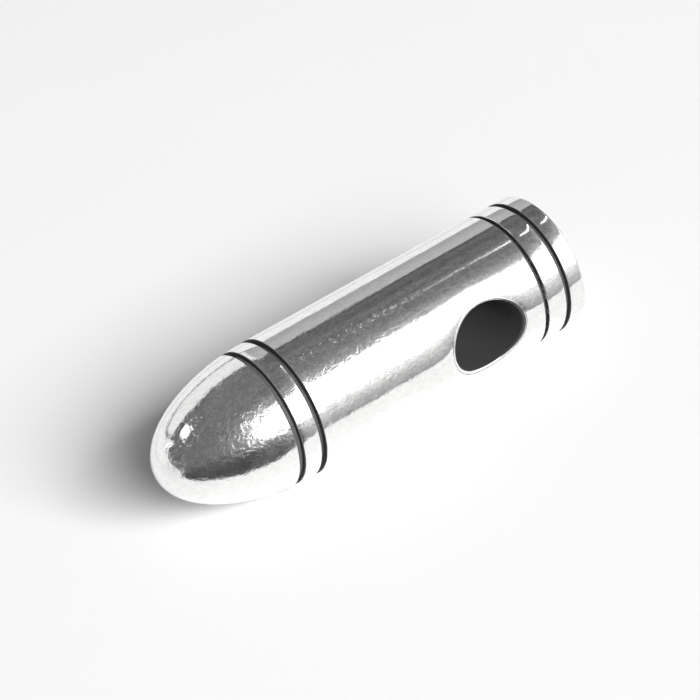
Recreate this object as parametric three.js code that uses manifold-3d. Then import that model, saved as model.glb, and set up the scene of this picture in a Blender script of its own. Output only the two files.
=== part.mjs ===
// A bullet-shaped puzzle capsule, worn on a cord. Two plain rings lock its nose and core into its barrel: when both
// rings are turned to their gates, the nose pulls out, with the chamber behind it.
//
// Millimetres, +Z up. The capsule lies on its side, with its nose towards -X and its cord hole along Y. The origin is
// on the surface that it lies on, under the middle of its length. Places along the capsule are stations: distances
// from the base's face towards the nose.

import * as THREE from "three";
import { mergeVertices } from "three/addons/utils/BufferGeometryUtils.js";
import Module from "manifold-3d";

// ---------------------------------------------------------------- driving dimensions

// The outside, from the base's face to the tip of the nose.
const bodyRadius = 6;
const capLength = 1.65;
const lineWidth = 0.4; // each black line is the edge of a washer of this thickness
const rearRingWidth = 1.9;
const barrelLength = 22.45;
const frontRingWidth = 1.65;
const noseLength = 9.5;
const lineDepth = 0.4;
const capEdgeRadius = 0.3;
const edgeChamfer = 0.12;
const standBack = 0.02; // rings and cap are this much smaller in radius, so that the capsule lies on its barrel

// The cord hole and the tube that lines it. Both are oval: longer along the capsule than they are high.
const cordStation = 9.96;
const cordHalfLength = 3.48;
const cordHalfHeight = 2.87;
const bushWall = 0.3;
const lipDepth = 0.3; // how far the tube's rounded lips reach into the hole

// Clearances.
const fitGap = 0.03; // between pieces that are fixed to each other
const runningGap = 0.06; // radial, between a ring and the sleeve that it turns on
const sideGap = 0.03; // between a ring and the washers beside it
const forkGap = 0.13; // between the core's fork and the cord tube

// The works.
const sleeveOuter = 4.9;
const sleeveInner = 4.4;
const sleeveRear = 1;
const sleeveFront = 30.6;
const coreOuter = 4.3;
const coreInner = 3.45;
const coreRear = 2;
const coreFront = 32.2;
const coreEndWall = 1.15;
const pinRadius = 0.45;
const pinBottom = 3.62;
const pinTop = 5.25; // lock pins reach this far from the capsule's axis
const keyTop = 5.35; // and everything that they pass through is open this far
const keyHalfWidth = 0.65;
const ringWeb = 0.55; // thickness of the wall inside a ring, which its gate goes through
const springSheet = 0.12;
const springWave = 0.1;
const springPocket = 0.45;
const splitWidth = 2.4; // of the gap in each spring and in the clip
const tabHalfWidth = 0.4; // of the tabs that stop washers and springs turning
const tabReach = 4.68;
const clipWidth = 0.34;
const clipInner = 4.78;
const clipOuter = 5.28;
const sealStation = 29.9;
const sealRadius = 4.08;
const sealSection = 0.26;
const screwShank = 1;
const screwHead = 1.8;
const screwHeadLength = 0.65;
const screwTip = 35.6;

const turnedSides = 48; // sides of a large turned piece; one is flat underneath, so that the capsule doesn't roll
const smallSides = 32;
const pinSides = 16;

// ---------------------------------------------------------------- stations and radii worked out from them

const rearRing = { from: capLength + lineWidth, to: capLength + lineWidth + rearRingWidth };
const barrel = { from: rearRing.to + lineWidth, to: rearRing.to + lineWidth + barrelLength };
const frontRing = { from: barrel.to + lineWidth, to: barrel.to + lineWidth + frontRingWidth };
const noseRear = frontRing.to + lineWidth;
const fullLength = noseRear + noseLength;

const ringBore = sleeveOuter + runningGap;
const bush = [cordHalfLength + bushWall, cordHalfHeight + bushWall]; // half its length, half its height
const bushHole = bush.map((size) => size + fitGap);
const fork = bush.map((size) => size + forkGap);
const rearPinStation = rearRing.from + 0.65;
const frontPinStation = frontRing.from + 0.55;
const clipStation = noseRear + 0.04;

// The outside radius: a cylinder up to the front of the barrel, then half an ellipse to the tip.
function outsideRadius(station) {
  const along = Math.max(0, (station - barrel.to) / (fullLength - barrel.to));
  return bodyRadius * Math.sqrt(1 - along * along);
}

// ---------------------------------------------------------------- shaping tools

const wasm = await Module();
wasm.setup();

function toSolid(geometry) {
  const bare = geometry.clone();
  bare.deleteAttribute("normal");
  bare.deleteAttribute("uv");
  const merged = mergeVertices(bare, 1e-4);
  const vertProperties = merged.attributes.position.array;
  const triVerts = new Uint32Array(merged.index.array);
  return new wasm.Manifold(new wasm.Mesh({ numProp: 3, vertProperties, triVerts }));
}

function toGeometry(solid) {
  const mesh = solid.getMesh();
  const geometry = new THREE.BufferGeometry();
  geometry.setAttribute("position", new THREE.BufferAttribute(mesh.vertProperties, 3));
  geometry.setIndex(new THREE.BufferAttribute(mesh.triVerts, 1));
  geometry.computeVertexNormals();
  return geometry;
}

function cut(blank, ...cutters) {
  return toGeometry(cutters.reduce((left, cutter) => left.subtract(toSolid(cutter)), toSolid(blank)));
}

function join(...pieces) {
  return toGeometry(pieces.map(toSolid).reduce((left, piece) => left.add(piece)));
}

// A piece turned about the capsule's axis. Its profile is a list of [station, radius] that runs towards the nose along
// the outside, and starts and ends on the axis or returns to its first point.
function turned(profile, sides = turnedSides) {
  const points = profile.map(([station, radius]) => new THREE.Vector2(radius, station));
  return new THREE.LatheGeometry(points, sides, Math.PI / sides).rotateZ(Math.PI / 2);
}

// A turned ring of rectangular section.
function band(from, to, inner, outer) {
  return turned([
    [from, inner],
    [from, outer],
    [to, outer],
    [to, inner],
    [from, inner],
  ]);
}

// A block between two stations and two heights above the axis, centred on the capsule's upright middle plane.
function block(from, to, low, high, halfWidth) {
  const box = new THREE.BoxGeometry(to - from, 2 * halfWidth, high - low);
  return box.translate(-(from + to) / 2, 0, (low + high) / 2);
}

// The way that the lock pins travel, above the axis.
function pinWay(from, to, low) {
  return block(from, to, low, keyTop, keyHalfWidth);
}

// A tab below the axis. It sits in the sleeve's keyway and stops a washer or a spring turning.
function keyTab(from, to) {
  return block(from, to, -ringBore - 0.15, -tabReach, tabHalfWidth);
}

// An oval bar through the capsule along Y.
function crossBar(station, [halfLength, halfHeight]) {
  const bar = new THREE.CylinderGeometry(1, 1, 4 * bodyRadius, smallSides, 1);
  return bar.rotateY(Math.PI / smallSides).scale(halfLength, 1, halfHeight).translate(-station, 0, 0);
}

// A round bar standing up from the axis.
function uprightBar(station, radius, low, high) {
  const bar = new THREE.CylinderGeometry(radius, radius, high - low, pinSides).rotateX(Math.PI / 2);
  return bar.translate(-station, 0, (low + high) / 2);
}

// Points along part of an ellipse, from angle a to angle b in degrees.
function arc(centreX, centreY, radiusX, radiusY, a, b, steps) {
  return Array.from({ length: steps + 1 }, (_, i) => {
    const angle = THREE.MathUtils.degToRad(a + ((b - a) * i) / steps);
    return [centreX + radiusX * Math.cos(angle), centreY + radiusY * Math.sin(angle)];
  });
}

// ---------------------------------------------------------------- materials

function material(color, roughness, metalness) {
  return new THREE.MeshStandardMaterial({ color, roughness, metalness });
}

const polishedSilver = material(0xe6e5e2, 0.06, 1);
const blackenedSilver = material(0x161616, 0.55, 0.6);
const satinSteel = material(0xa9abad, 0.35, 1);
const springSteel = material(0x8d8f92, 0.3, 1);
const brass = material(0xc9a55a, 0.3, 1);
const rubber = material(0x1b1b1c, 0.8, 0);

// ---------------------------------------------------------------- outside pieces

// The cap on the base: its skirt and its spigot hold the rear end of the sleeve between them.
function makeBaseCap() {
  const outer = bodyRadius - standBack;
  const seat = sleeveRear - 0.05;
  const spigot = sleeveInner - 0.04;
  return turned([
    [0, 0],
    ...arc(capEdgeRadius, outer - capEdgeRadius, capEdgeRadius, capEdgeRadius, 180, 90, 4),
    [capLength - edgeChamfer, outer],
    [capLength, outer - edgeChamfer],
    [capLength, ringBore],
    [seat, ringBore],
    [seat, spigot],
    [capLength + 0.05, spigot],
    [capLength + 0.05, 0],
  ]);
}

// A ring that turns on the sleeve. The wall inside it stops a lock pin, except where the gate is cut.
function makeRing({ from, to }) {
  const rear = from + sideGap;
  const front = to - sideGap;
  const crown = (station) => outsideRadius(station) - standBack;
  const blank = turned([
    [rear, keyTop],
    [rear, crown(rear) - edgeChamfer],
    [rear + edgeChamfer, crown(rear)],
    [front - edgeChamfer, crown(front)],
    [front, crown(front) - edgeChamfer],
    [front, ringBore],
    [front - ringWeb, ringBore],
    [front - ringWeb, keyTop],
    [rear, keyTop],
  ]);
  return cut(blank, pinWay(front - 2 * ringWeb, front + 1, sleeveInner));
}

// The long tube between the rings. Each end has a pocket for a wave spring, and a keyway joins the pockets.
function makeBarrel() {
  const blank = turned([
    [barrel.from + springPocket, ringBore],
    [barrel.from + springPocket, keyTop],
    [barrel.from, keyTop],
    [barrel.from, bodyRadius - edgeChamfer],
    [barrel.from + edgeChamfer, bodyRadius],
    [barrel.to - edgeChamfer, bodyRadius],
    [barrel.to, bodyRadius - edgeChamfer],
    [barrel.to, keyTop],
    [barrel.to - springPocket, keyTop],
    [barrel.to - springPocket, ringBore],
    [barrel.from + springPocket, ringBore],
  ]);
  return cut(blank, pinWay(barrel.from - 1, barrel.to + 1, sleeveInner), crossBar(cordStation, bushHole));
}

// The tube that the cord runs through. It pins the barrel to the sleeve, and its rounded lips follow the outside.
function makeCordBush() {
  const end = bodyRadius * Math.cos(Math.PI / turnedSides) - 0.01;
  const [halfLength, halfHeight] = bush;
  const lip = arc(halfLength, end - lipDepth, bushWall, lipDepth, 180, 90, 4);
  const nearLip = lip.map(([radius, along]) => [radius, -along]);
  const profile = [...nearLip, ...lip.reverse(), nearLip[0]];
  const points = profile.map(([radius, along]) => new THREE.Vector2(radius, along));
  const tube = new THREE.LatheGeometry(points, smallSides, Math.PI / smallSides);
  tube.scale(1, 1, halfHeight / halfLength);
  const place = tube.attributes.position;
  for (let i = 0; i < place.count; i += 1) {
    const drop = bodyRadius - Math.sqrt(bodyRadius ** 2 - place.getZ(i) ** 2);
    place.setY(i, place.getY(i) - Math.sign(place.getY(i)) * drop);
  }
  return tube.translate(-cordStation, 0, 0);
}

// The washer beside a ring, whose edge is seen as a black line. Where lock pins pass, it has a notch for them.
function makeWasher(from, hasNotch) {
  const to = from + lineWidth;
  const washer = join(band(from, to, ringBore, bodyRadius - lineDepth), keyTab(from, to));
  return hasNotch ? cut(washer, pinWay(from - 1, to + 1, sleeveInner)) : washer;
}

// The nose: half an ellipse outside, and a socket for the front of the core inside.
function makeNoseCap() {
  const clipRoom = clipOuter + 0.1;
  const rear = noseRear + sideGap;
  const reach = fullLength - barrel.to;
  const startAngle = THREE.MathUtils.radToDeg(Math.acos((rear + edgeChamfer - barrel.to) / reach));
  const ogive = arc(barrel.to, 0, reach, bodyRadius, startAngle, 0, 12);
  ogive[ogive.length - 1][1] = 0;
  return turned([
    [screwTip + 0.3, 0],
    [screwTip + 0.3, screwShank + fitGap],
    [coreFront + fitGap, screwShank + fitGap],
    [coreFront + fitGap, coreOuter + fitGap],
    [sleeveFront + 0.2, coreOuter + fitGap],
    [sleeveFront + 0.2, clipRoom],
    [rear, clipRoom],
    [rear, outsideRadius(rear) - edgeChamfer],
    ...ogive,
  ]);
}

// ---------------------------------------------------------------- the works

// The steel tube that everything is built on: rings turn on it, and lock pins slide in the slot along its top.
function makeSleeve() {
  const grooveFloor = clipInner - fitGap;
  const blank = turned([
    [sleeveRear, sleeveInner],
    [sleeveRear, sleeveOuter],
    [clipStation - fitGap, sleeveOuter],
    [clipStation - fitGap, grooveFloor],
    [clipStation + clipWidth + fitGap, grooveFloor],
    [clipStation + clipWidth + fitGap, sleeveOuter],
    [sleeveFront, sleeveOuter],
    [sleeveFront, sleeveInner],
    [sleeveRear, sleeveInner],
  ]);
  const slot = pinWay(rearPinStation - pinRadius - 0.3, sleeveFront + 1, coreInner);
  const keyway = block(sleeveRear - 1, sleeveFront + 1, -bodyRadius, -tabReach + 0.05, tabHalfWidth + 0.05);
  return cut(blank, slot, keyway, crossBar(cordStation, bushHole));
}

// The chamber that pulls out with the nose. Its rear is a fork, which straddles the cord tube.
function makeCore() {
  const grooveHalf = sealSection + 0.09;
  const grooveFloor = sealRadius - sealSection - 0.05;
  const blank = turned([
    [coreRear, coreInner],
    [coreRear, coreOuter],
    [sealStation - grooveHalf, coreOuter],
    [sealStation - grooveHalf, grooveFloor],
    [sealStation + grooveHalf, grooveFloor],
    [sealStation + grooveHalf, coreOuter],
    [coreFront, coreOuter],
    [coreFront, screwShank + fitGap],
    [coreFront - coreEndWall, screwShank + fitGap],
    [coreFront - coreEndWall, coreInner],
    [coreRear, coreInner],
  ]);
  const pinHole = pinRadius + fitGap;
  return cut(
    blank,
    block(coreRear - 1, cordStation, -fork[1], fork[1], bodyRadius),
    crossBar(cordStation, fork),
    uprightBar(frontPinStation, pinHole, 0, bodyRadius),
    uprightBar(rearPinStation, pinHole, 0, bodyRadius),
  );
}

function makeLockPin(station) {
  return uprightBar(station, pinRadius, pinBottom, pinTop);
}

// The open ring in the sleeve's groove, which keeps the front ring and its washers on.
function makeClip() {
  const ring = band(clipStation, clipStation + clipWidth, clipInner, clipOuter);
  return cut(ring, block(clipStation - 1, clipStation + 1, 0, bodyRadius, splitWidth / 2));
}

// A thin wavy ring that presses the washer in front of it against the ring, so that the ring stays where it is put.
function makeWaveSpring(station) {
  const sheet = springSheet / 2;
  const blank = band(station - sheet, station + sheet, ringBore + 0.04, keyTop - 0.06);
  const place = blank.attributes.position;
  const waves = 4;
  for (let i = 0; i < place.count; i += 1) {
    const around = Math.atan2(place.getY(i), place.getZ(i));
    place.setX(i, place.getX(i) - springWave * Math.cos(waves * around));
  }
  const crest = station + springWave;
  const tabbed = join(blank, keyTab(crest - sheet, crest + sheet));
  return cut(tabbed, block(station - 1, station + 1, 0, bodyRadius, splitWidth / 2));
}

function makeSeal() {
  return turned(arc(sealStation, sealRadius, sealSection, sealSection, 180, -180, 8), smallSides);
}

// The screw that holds the nose on the core. Its slotted head is inside the chamber.
function makeNoseScrew() {
  const seat = coreFront - coreEndWall - fitGap;
  const head = seat - screwHeadLength;
  const softening = 0.25;
  const blank = turned(
    [
      [head, 0],
      [head, screwHead - softening],
      [head + softening, screwHead],
      [seat, screwHead],
      [seat, screwShank],
      [screwTip - softening, screwShank],
      [screwTip, screwShank - softening],
      [screwTip, 0],
    ],
    smallSides,
  );
  return cut(blank, block(head - 1, head + 0.25, -bodyRadius, bodyRadius, 0.25));
}

// ---------------------------------------------------------------- assembly

const capsule = new THREE.Group();
capsule.position.set(fullLength / 2, 0, bodyRadius * Math.cos(Math.PI / turnedSides));

function add(name, geometry, look) {
  const mesh = new THREE.Mesh(geometry, look);
  mesh.name = name;
  capsule.add(mesh);
}

add("base_cap", makeBaseCap(), polishedSilver);
add("rear_outer_washer", makeWasher(capLength, false), blackenedSilver);
add("rear_ring", makeRing(rearRing), polishedSilver);
add("rear_inner_washer", makeWasher(rearRing.to, true), blackenedSilver);
add("rear_wave_spring", makeWaveSpring(barrel.from + springPocket / 2), springSteel);
add("barrel_shell", makeBarrel(), polishedSilver);
add("cord_bush", makeCordBush(), polishedSilver);
add("front_wave_spring", makeWaveSpring(barrel.to - springPocket / 2), springSteel);
add("front_inner_washer", makeWasher(barrel.to, true), blackenedSilver);
add("front_ring", makeRing(frontRing), polishedSilver);
add("front_outer_washer", makeWasher(frontRing.to, true), blackenedSilver);
add("retaining_clip", makeClip(), springSteel);
add("inner_sleeve", makeSleeve(), satinSteel);
add("core_tube", makeCore(), brass);
add("rear_lock_pin", makeLockPin(rearPinStation), satinSteel);
add("front_lock_pin", makeLockPin(frontPinStation), satinSteel);
add("core_seal", makeSeal(), rubber);
add("nose_screw", makeNoseScrew(), satinSteel);
add("nose_cap", makeNoseCap(), polishedSilver);

const part = new THREE.Group();
part.add(capsule);
export default part;
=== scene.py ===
"""A mirror-polished silver puzzle capsule, bullet shaped, lying on white paper.

Every piece of the CAD model has a smooth piece here in its place. Sizes inside this file are in
millimetres: a station is a distance from the base's face towards the nose, and radii are measured from
the capsule's axis. Pieces are scaled to metres when they are placed in the frame.
"""

import math

import bmesh
import bpy
import numpy as np
from mathutils import Matrix, Vector


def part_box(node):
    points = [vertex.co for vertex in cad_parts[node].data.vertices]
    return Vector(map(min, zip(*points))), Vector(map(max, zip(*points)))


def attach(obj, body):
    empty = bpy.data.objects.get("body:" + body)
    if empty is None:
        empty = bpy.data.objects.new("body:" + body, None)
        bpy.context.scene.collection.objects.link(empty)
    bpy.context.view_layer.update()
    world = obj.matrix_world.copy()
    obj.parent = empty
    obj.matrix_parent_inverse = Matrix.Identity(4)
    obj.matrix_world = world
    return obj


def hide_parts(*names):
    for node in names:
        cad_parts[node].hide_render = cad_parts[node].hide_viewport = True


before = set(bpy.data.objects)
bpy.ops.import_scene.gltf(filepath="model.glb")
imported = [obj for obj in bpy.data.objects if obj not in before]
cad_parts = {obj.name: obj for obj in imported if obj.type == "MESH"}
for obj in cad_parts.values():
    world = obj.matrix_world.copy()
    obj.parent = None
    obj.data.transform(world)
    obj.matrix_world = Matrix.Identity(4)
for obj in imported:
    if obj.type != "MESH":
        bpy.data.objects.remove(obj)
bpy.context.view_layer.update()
scene = bpy.context.scene

MM = 0.001
BASE_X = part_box("base_cap")[1].x
AXIS_Z = (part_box("barrel_shell")[0].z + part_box("barrel_shell")[1].z) / 2
BORE_MIDDLE = sum(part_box("cord_bush"), Vector()) / 2
TO_FRAME = Matrix.Translation((BASE_X, 0, AXIS_Z)) @ Matrix.Diagonal((MM, MM, MM, 1))

# ---- sizes


def ends(node):
    """The rear and front stations of a CAD node."""
    low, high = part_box(node)
    return (BASE_X - high.x) / MM, (BASE_X - low.x) / MM


def half_size(node, axis):
    """Half a CAD node's size, across the capsule on axis 1 and from bottom to top on axis 2."""
    low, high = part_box(node)
    return (high[axis] - low[axis]) / 2 / MM


def grown(oval, by):
    """An oval that is larger all round."""
    return oval[0] + by, oval[1] + by


BODY_RADIUS = half_size("barrel_shell", 1)
RING_RADIUS = half_size("rear_ring", 1)
BARREL = ends("barrel_shell")
REAR_RING = ends("rear_ring")
FRONT_RING = ends("front_ring")
NOSE_REAR, NOSE_TIP = ends("nose_cap")
CAP_FRONT = ends("rear_outer_washer")[0]
CORD_STATION = sum(ends("cord_bush")) / 2

FIT_GAP = 0.03  # between pieces that are fixed to each other
FORK_GAP = 0.13  # between the core's fork and the cord tube
SMALL_EDGE = 0.05  # rounding of the edges inside
RIGHT_THROUGH = 9  # a rod that reaches this far each way passes right through the capsule
# the cord tube and the openings round it are ovals: half the length along the capsule, half the height
BUSH = ((ends("cord_bush")[1] - ends("cord_bush")[0]) / 2, half_size("cord_bush", 2))
BUSH_WALL = 0.3
CORD = grown(BUSH, -BUSH_WALL)
BUSH_HOLE = grown(BUSH, FIT_GAP)
FORK = grown(BUSH, FORK_GAP)
LIP_DEPTH = 0.3  # how far the tube's rounded lips reach into the hole
DISH_DEPTH, DISH_REACH = 0.13, 0.65  # the barrel is worn down towards the cord hole
DISH_STEP = 0.23  # spacing of the rings of vertices near the hole, which run between these two counts
DISH_RINGS = (-22, 46)
LINE_DEPTH = 0.4  # how far the washers' edges lie below the barrel's outside
LINES = [sum(ends(f"{end}_{side}_washer")) / 2 for end in ("rear", "front") for side in ("outer", "inner")]
LINE_HALF_WIDTH = 0.2
LINE_SPREAD = (0.04, 0.03, 0.09, 0.04)  # how far the oxide creeps over the edges of each line

SLEEVE = ends("inner_sleeve")
SLEEVE_OUTER, SLEEVE_INNER = 4.9, 4.4
RING_BORE = 4.96
CORE = ends("core_tube")
CORE_OUTER, CORE_INNER = 4.3, 3.45
CORE_END_WALL = 1.15
KEY_TOP, KEY_HALF_WIDTH = 5.35, 0.65
RING_WEB = 0.55
SPRING_POCKET = 0.45
SPLIT_HALF_WIDTH = 1.2
TAB_HALF_WIDTH, TAB_REACH = 0.4, 4.68
CLIP_RADII = (4.78, 5.28)
SEAL_STATION = sum(ends("core_seal")) / 2
SEAL_RADIUS, SEAL_SECTION = 4.08, 0.26
SCREW_SHANK, SCREW_HEAD = 1.0, 1.8
PIN_RADIUS = 0.45
PIN_BOTTOM, PIN_TOP = [(corner.z - AXIS_Z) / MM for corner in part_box("rear_lock_pin")]
PIN_STATIONS = [sum(ends(node)) / 2 for node in ("rear_lock_pin", "front_lock_pin")]

EDGE = 0.07  # rounding of the polished edges beside the black lines
BASE_EDGE = 0.32  # rounding of the edge round the base's face
RING_BULGE, CAP_BULGE = 0.035, 0.035  # how far the bands fall away towards their edges
CAP_BULGE_REACH = 0.8
BAND_STEPS = 12  # rings of vertices across a band
SIDES, INNER_SIDES = 256, 192  # facets round a turned piece, and round one inside


def outside_radius(station):
    """A cylinder up to the barrel's front, then half an ellipse to the tip of the nose."""
    along = max(0.0, (station - BARREL[1]) / (NOSE_TIP - BARREL[1]))
    return BODY_RADIUS * math.sqrt(max(0.0, 1 - along * along))


def dish(x, z):
    """How far the outside is worn down at a place, given in the model's own X and Z."""
    along = x + CORD_STATION
    oval = np.maximum(np.hypot(along / BUSH_HOLE[0], z / BUSH_HOLE[1]), 1e-6)
    away = np.maximum(np.hypot(along, z) * (1 - 1 / oval), 0)
    return DISH_DEPTH * np.exp(-away / DISH_REACH)


# ---- meshes


def unit(vector):
    """The vector with a length of 1."""
    return vector / np.linalg.norm(vector)


def outline(corners, closed=True, steps=6):
    """Points and outward normals along a section that runs towards the nose along the outside.

    Corners are (station, radius) or (station, radius, rounding). An open section ends on the axis.
    """
    points, normals = [], []
    last = len(corners) - 1
    for i, corner in enumerate(corners):
        here = np.array(corner[:2], float)
        if not closed and i in (0, last):
            points.append(here)
            normals.append(np.array((-1.0 if i == 0 else 1.0, 0.0)))
            continue
        way_in = unit(here - np.array(corners[i - 1][:2], float))
        way_out = unit(np.array(corners[(i + 1) % len(corners)][:2], float) - here)
        normal_in = np.array((-way_in[1], way_in[0]))
        bend = math.atan2(way_in[0] * way_out[1] - way_in[1] * way_out[0], float(way_in @ way_out))
        rounding = corner[2] if len(corner) > 2 else 0
        if not rounding or abs(bend) < 1e-3:
            normal_out = np.array((-way_out[1], way_out[0]))
            points.append(here)
            normals.append(unit(normal_in + normal_out))
            continue
        side = -math.copysign(1, bend)
        start = here - way_in * rounding * math.tan(abs(bend) / 2)
        centre = start - side * rounding * normal_in
        for k in range(steps + 1):
            turn = bend * k / steps
            c, s = math.cos(turn), math.sin(turn)
            normal = np.array((c * normal_in[0] - s * normal_in[1], s * normal_in[0] + c * normal_in[1]))
            points.append(centre + side * rounding * normal)
            normals.append(normal)
    return np.array(points), np.array(normals)


def crown(section, rear, front, bulge, above):
    """Bends the outside of a section: a band crowned by bulge that follows the capsule's outside radius."""
    points, normals = section
    middle, half = (rear + front) / 2, (front - rear) / 2
    for point, normal in zip(points, normals):
        if point[1] < above:
            continue
        nudge = 1e-3
        rise = [
            outside_radius(s) - BODY_RADIUS - bulge * ((s - middle) / half) ** 4
            for s in (point[0] - nudge, point[0], point[0] + nudge)
        ]
        normal[0] -= (rise[2] - rise[0]) / (2 * nudge) * normal[1]
        normal /= np.linalg.norm(normal)
        point[1] += rise[1]
    return points, normals


def new_object(name, vertices, faces):
    """A linked object with its faces turned outwards."""
    mesh = bpy.data.meshes.new(name)
    mesh.from_pydata([tuple(v) for v in vertices], [], faces)
    mesh.update()
    made = bmesh.new()
    made.from_mesh(mesh)
    if made.calc_volume(signed=True) < 0:
        bmesh.ops.reverse_faces(made, faces=made.faces)
    made.to_mesh(mesh)
    made.free()
    piece = bpy.data.objects.new(name, mesh)
    scene.collection.objects.link(piece)
    return piece


def revolve(name, points, closed=True, sides=SIDES):
    """A piece turned about the capsule's axis from the points of its section."""
    vertices, rows = [], []
    for station, radius in points:
        if radius < 1e-6:
            rows.append([len(vertices)] * sides)
            vertices.append((-station, 0, 0))
            continue
        rows.append(list(range(len(vertices), len(vertices) + sides)))
        for k in range(sides):
            angle = 2 * math.pi * (k + 0.5) / sides
            vertices.append((-station, radius * math.sin(angle), radius * math.cos(angle)))
    faces = []
    pairs = list(zip(rows, rows[1:] + rows[:1])) if closed else list(zip(rows, rows[1:]))
    for low, high in pairs:
        for k in range(sides):
            m = (k + 1) % sides
            ring = (low[k], low[m], high[m], high[k])
            face = tuple(dict.fromkeys(ring))
            if len(face) > 2:
                faces.append(face)
    return new_object(name, vertices, faces)


def box_cutter(rear, front, low, high, half):
    """A block between two stations and two heights above the axis, centred on the upright middle plane."""
    vertices = [(-s, y, z) for s in (rear, front) for y in (-half, half) for z in (low, high)]
    faces = [(0, 1, 3, 2), (4, 6, 7, 5), (0, 4, 5, 1), (2, 3, 7, 6), (0, 2, 6, 4), (1, 5, 7, 3)]
    return new_object("cutter", vertices, faces)


def rod_mesh(name, station, radius, low, high, axis, rounding=0.0, sides=128):
    """A round rod along Y or Z through a station, with its ends rounded."""
    section = [(low, 0), (low, radius, rounding), (high, radius, rounding), (high, 0)]
    points, _ = outline(section, closed=False, steps=4)
    rod = revolve(name, points, closed=False, sides=sides)
    # revolve lays its stations along -X, so this turn brings them along +Y or +Z
    turn = Matrix.Rotation(-math.pi / 2, 4, "Z") if axis == "Y" else Matrix.Rotation(math.pi / 2, 4, "Y")
    rod.data.transform(Matrix.Translation((-station, 0, 0)) @ turn)
    return rod


def oval_rod(oval):
    """An oval rod along Y through the cord hole that passes right through the capsule."""
    rod = rod_mesh("cutter", CORD_STATION, oval[0], -RIGHT_THROUGH, RIGHT_THROUGH, "Y", sides=INNER_SIDES)
    rod.data.transform(Matrix.Diagonal((1, 1, oval[1] / oval[0], 1)))
    return rod


def carve(piece, cutter, operation="DIFFERENCE"):
    """Takes the cutter out of the piece, or joins it on, and throws the cutter away."""
    modifier = piece.modifiers.new("carve", "BOOLEAN")
    modifier.operation = operation
    modifier.solver = "EXACT"
    modifier.object = cutter
    bpy.context.view_layer.update()
    made = bpy.data.meshes.new_from_object(piece.evaluated_get(bpy.context.evaluated_depsgraph_get()))
    piece.modifiers.clear()
    piece.data = made
    bpy.data.objects.remove(cutter)
    return piece


def section_normals(places, section, closed):
    """The normal of a turned section's nearest point, for places given as station, Y and Z."""
    points, normals = section
    following = np.roll(points, -1, axis=0), np.roll(normals, -1, axis=0)
    count = len(points) if closed else len(points) - 1
    radius = np.hypot(places[:, 1], places[:, 2])
    spot = np.stack((places[:, 0], radius), axis=1)
    best = np.full(len(places), np.inf)
    found = np.zeros((len(places), 2))
    for k in range(count):
        start, along = points[k], following[0][k] - points[k]
        share = np.clip((spot - start) @ along / max(along @ along, 1e-12), 0, 1)
        miss = np.linalg.norm(spot - start - share[:, None] * along, axis=1)
        nearer = miss < best
        best[nearer] = miss[nearer]
        mixed = normals[k] + share[:, None] * (following[1][k] - normals[k])
        found[nearer] = mixed[nearer]
    radius = np.maximum(radius, 1e-9)
    sideways_part = found[:, 1:] * places[:, 1:] / radius[:, None]
    full = np.column_stack((-found[:, 0], sideways_part))
    return full / np.linalg.norm(full, axis=1)[:, None]


def lean_into_dish(normals, coordinates):
    """Leans the normals of the barrel's outside towards the cord hole, as the worn surface does."""
    x, y, z = coordinates.T
    step = 1e-3
    slope = np.zeros_like(normals)
    slope[:, 0] = (dish(x + step, z) - dish(x - step, z)) / (2 * step)
    slope[:, 2] = (dish(x, z + step) - dish(x, z - step)) / (2 * step)
    slope -= np.einsum("ij,ij->i", slope, normals)[:, None] * normals
    outside = np.hypot(y, z) > BODY_RADIUS - DISH_DEPTH - 0.05
    leaning = normals + slope * (outside & (abs(normals[:, 0]) < 0.5))[:, None]
    return leaning / np.linalg.norm(leaning, axis=1)[:, None]


def read_values(collection, field, kind, per_item=1):
    """One number, or a row of numbers, from each item of a mesh's collection."""
    values = np.zeros(len(collection) * per_item, kind)
    collection.foreach_get(field, values)
    return values.reshape(-1, per_item) if per_item > 1 else values


def wall_normals(coordinates, station, oval, axis):
    """The normals of a round or oval hole's wall at places that lie on it, and zero elsewhere."""
    along, across = (1, 2) if axis == "Y" else (2, 1)
    on_wall = 0.01
    scaled = coordinates + (station, 0, 0)
    scaled[:, along] = 0
    scaled[:, 0] /= oval[0]
    scaled[:, across] /= oval[1]
    off_wall = abs(np.linalg.norm(scaled, axis=1) - 1) * min(oval) > on_wall
    scaled[:, 0] /= oval[0]
    scaled[:, across] /= oval[1]
    around = -scaled / np.maximum(np.linalg.norm(scaled, axis=1), 1e-9)[:, None]
    around[off_wall] = 0
    return around


def polish_normals(piece, section, closed=True, rods=(), dished=False):
    """Corner normals from the section and the holes' walls, so that reflections run unbroken."""
    mesh = piece.data
    mesh.polygons.foreach_set("use_smooth", [True] * len(mesh.polygons))
    corner_vertex = read_values(mesh.loops, "vertex_index", np.int32)
    coordinates = read_values(mesh.vertices, "co", np.float64, 3)
    sizes = read_values(mesh.polygons, "loop_total", np.int32)
    flat = np.repeat(read_values(mesh.polygons, "normal", np.float64, 3), sizes, axis=0)
    turned = section_normals(coordinates * (-1, 1, 1), section, closed)
    if dished:
        turned = lean_into_dish(turned, coordinates)
    candidates = [turned[corner_vertex]]
    for rod in rods:
        candidates.append(wall_normals(coordinates, *rod)[corner_vertex])
    least_match = 0.93  # a face that leans further than this from every candidate stays flat
    chosen = flat.copy()
    best = np.full(len(flat), least_match)
    for candidate in candidates:
        match = np.einsum("ij,ij->i", candidate, flat)
        better = match > best
        chosen[better] = candidate[better]
        best[better] = match[better]
    mesh.normals_split_custom_set([tuple(n) for n in chosen])
    return piece


def soft_shading(piece, degrees=35):
    """Smooth shading that breaks at sharp edges."""
    mesh = piece.data
    mesh.polygons.foreach_set("use_smooth", [True] * len(mesh.polygons))
    mesh.set_sharp_from_angle(angle=math.radians(degrees))
    return piece


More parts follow.
